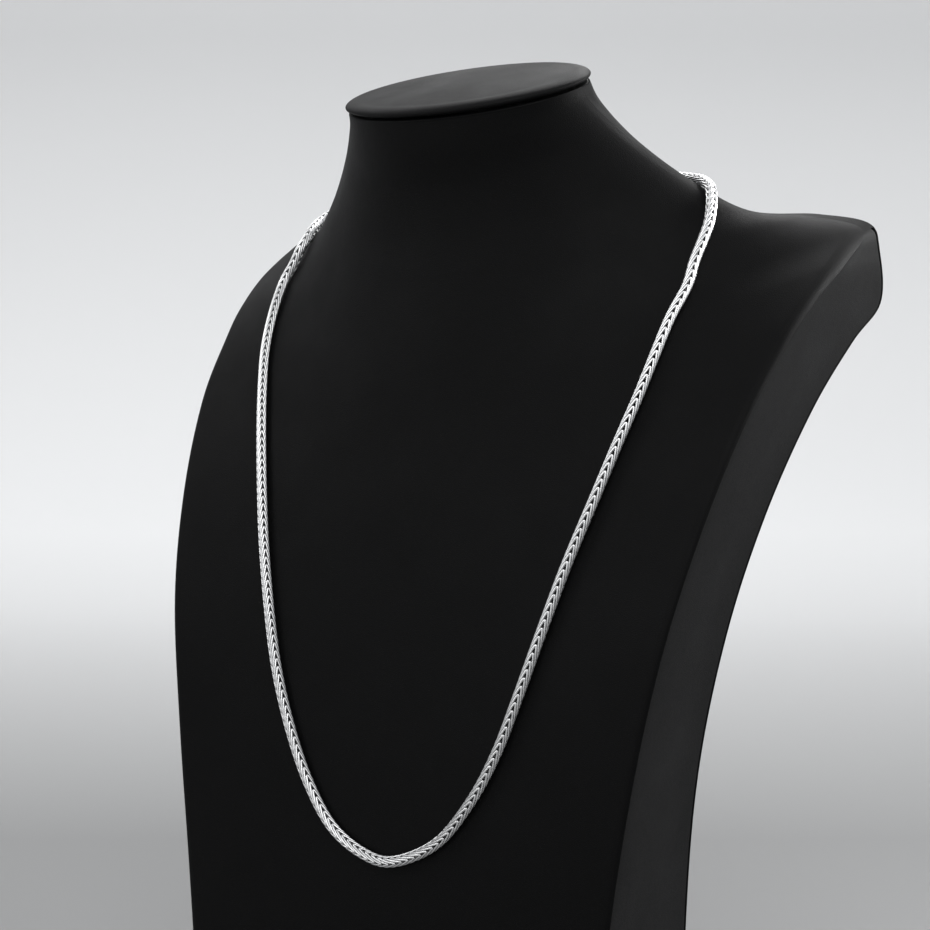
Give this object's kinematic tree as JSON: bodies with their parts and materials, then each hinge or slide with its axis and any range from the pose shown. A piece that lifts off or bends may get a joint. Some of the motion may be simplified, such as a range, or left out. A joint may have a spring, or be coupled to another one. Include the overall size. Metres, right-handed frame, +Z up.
{
  "type": "wheat chain on a neck bust",
  "caption": "Silver wheat chain necklace hanging in a long U on a black leatherette neck bust with a padded neck top and recessed side gussets.",
  "frame": {"origin": "the middle of the bust's foot, on its flat underside", "axes": "+Z up, -Y towards the front of the chest, +X to the right as seen from the front"},
  "size_m": [0.2102, 0.1117, 0.3062],
  "materials": {
    "leatherette": "fine-grained black leatherette, satin",
    "gusset_leatherette": "fine-grained black leatherette, satin",
    "pad_leatherette": "fine-grained black leatherette over a thin pad, satin",
    "chain_silver": "polished silver",
    "clasp_silver": "polished silver"
  },
  "bodies": {
    "root": {"bust_form": "leatherette", "gusset_left": "gusset_leatherette", "gusset_right": "gusset_leatherette", "neck_pad": "pad_leatherette", "wheat_chain": "chain_silver", "clasp": "clasp_silver"}
  },
  "joints": []
}
